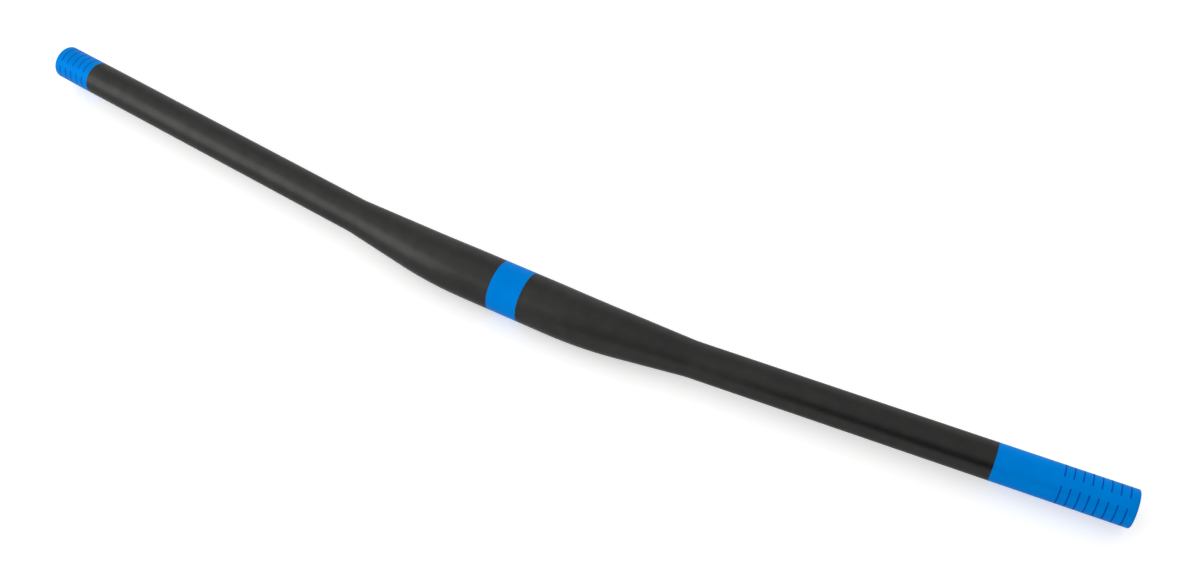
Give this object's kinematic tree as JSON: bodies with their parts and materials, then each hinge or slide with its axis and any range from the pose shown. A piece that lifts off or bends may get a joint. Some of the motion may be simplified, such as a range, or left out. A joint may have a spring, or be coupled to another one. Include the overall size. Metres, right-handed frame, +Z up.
{
  "type": "mountain bike handlebar",
  "caption": "Flat mountain bike handlebar: one butted tube, stout at the stem clamp, tapered and swept back at both sides to slim open grip ends.",
  "frame": {"origin": "on the tube's axis, at the middle of the stem clamp", "axes": "+X along the bar towards the rider's left end, +Y back towards the rider, the way both sides sweep, +Z up"},
  "size_m": [0.7418, 0.0547, 0.0318],
  "materials": {
    "bar_finish": "matte black coating with glossy blue bands at the middle and both ends"
  },
  "bodies": {
    "root": {"handlebar": "bar_finish"}
  },
  "joints": []
}
